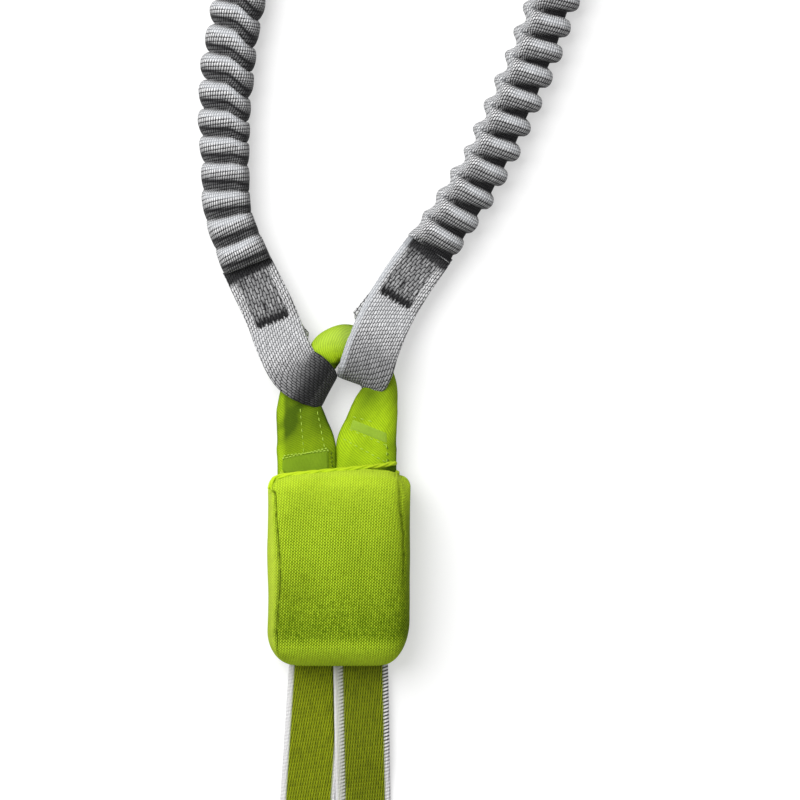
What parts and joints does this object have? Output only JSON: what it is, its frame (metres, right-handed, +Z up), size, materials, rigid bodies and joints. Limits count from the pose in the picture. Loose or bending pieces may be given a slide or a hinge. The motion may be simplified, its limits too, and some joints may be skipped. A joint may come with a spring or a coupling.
{
  "type": "via ferrata lanyard",
  "caption": "Energy-absorbing climbing lanyard: a lime pouch with folded tear webbing, a link loop, two ruched stretch arms with palm-lever carabiners, and a tie-in loop.",
  "frame": {"origin": "centre of the pouch's flat back, on the surface it lies on", "axes": "+Z up out of the front of the pouch, +Y along the arms towards the carabiners, +X across"},
  "size_m": [0.1864, 0.9227, 0.0319],
  "materials": {
    "lime_fabric": "melange weave",
    "yellow_cord": "twisted elastic cord",
    "tear_webbing": "flat webbing",
    "olive_webbing": "flat webbing with white edges",
    "green_twill": "twill",
    "grey_webbing": "flat webbing",
    "grey_sleeve": "ruched tubular webbing",
    "black_rubber": "matt",
    "grey_alloy": "anodised",
    "steel": "satin",
    "dark_plastic": "fine grain"
  },
  "bodies": {
    "pouch": {"pouch_front_panel": "lime_fabric", "pouch_back_panel": "lime_fabric", "pouch_mouth_cord": "yellow_cord", "tear_webbing_left": "tear_webbing", "tear_webbing_right": "tear_webbing", "tie_in_webbing": "olive_webbing", "link_loop_sleeve": "green_twill", "link_loop_core": "tear_webbing"},
    "left_arm": {"left_lower_eye": "grey_webbing", "left_sleeve": "grey_sleeve"},
    "left_arm_end": {"left_upper_eye": "grey_webbing", "left_eye_retainer": "black_rubber"},
    "left_carabiner": {"left_carabiner_frame": "grey_alloy", "left_gate_rivet": "steel", "left_lever_pin": "steel"},
    "left_gate": {"left_gate": "grey_alloy"},
    "left_lever": {"left_palm_lever": "dark_plastic"},
    "right_arm": {"right_lower_eye": "grey_webbing", "right_sleeve": "grey_sleeve"},
    "right_arm_end": {"right_upper_eye": "grey_webbing", "right_eye_retainer": "black_rubber"},
    "right_carabiner": {"right_carabiner_frame": "grey_alloy", "right_gate_rivet": "steel", "right_lever_pin": "steel"},
    "right_gate": {"right_gate": "grey_alloy"},
    "right_lever": {"right_palm_lever": "dark_plastic"}
  },
  "joints": [
    {"name": "left_arm_lift", "type": "hinge", "parent": "pouch", "child": "left_arm", "pos_m": [-0.0118, 0.0775, 0.0097], "axis": [0.6606, 0.7507, 0], "range_deg": [0, 75]},
    {"name": "left_arm_stretch", "type": "slide", "parent": "left_arm", "child": "left_arm_end", "axis": [0, 1, 0], "range_m": [0, 0.28], "stiffness_N_per_m": 50, "deforming": ["left_sleeve"]},
    {"name": "left_carabiner_swing", "type": "hinge", "parent": "left_arm_end", "child": "left_carabiner", "pos_m": [-0.041, 0.6463, 0.0075], "axis": [1, 0, 0], "range_deg": [-120, 120]},
    {"name": "left_gate_open", "type": "hinge", "parent": "left_carabiner", "child": "left_gate", "pos_m": [-0.018, 0.6663, 0.0075], "axis": [0, 0, 1], "range_deg": [0, 26], "stiffness_Nm_per_rad": 0.06, "springref_deg": -20.05},
    {"name": "left_lever_press", "type": "hinge", "parent": "left_carabiner", "child": "left_lever", "pos_m": [-0.065, 0.6723, 0.0075], "axis": [0, 0, -1], "range_deg": [0, 5], "stiffness_Nm_per_rad": 0.6, "springref_deg": -5.73},
    {"name": "right_arm_lift", "type": "hinge", "parent": "pouch", "child": "right_arm", "pos_m": [0.009, 0.0852, 0.0097], "axis": [0.8713, -0.4907, 0], "range_deg": [0, 90]},
    {"name": "right_arm_stretch", "type": "slide", "parent": "right_arm", "child": "right_arm_end", "axis": [0, 1, 0], "range_m": [0, 0.28], "stiffness_N_per_m": 50, "deforming": ["right_sleeve"]},
    {"name": "right_carabiner_swing", "type": "hinge", "parent": "right_arm_end", "child": "right_carabiner", "pos_m": [0.075, 0.6563, 0.0075], "axis": [1, 0, 0], "range_deg": [-120, 120]},
    {"name": "right_gate_open", "type": "hinge", "parent": "right_carabiner", "child": "right_gate", "pos_m": [0.098, 0.6763, 0.0075], "axis": [0, 0, 1], "range_deg": [0, 26], "stiffness_Nm_per_rad": 0.06, "springref_deg": -20.05},
    {"name": "right_lever_press", "type": "hinge", "parent": "right_carabiner", "child": "right_lever", "pos_m": [0.051, 0.6823, 0.0075], "axis": [0, 0, -1], "range_deg": [0, 5], "stiffness_Nm_per_rad": 0.6, "springref_deg": -5.73}
  ]
}
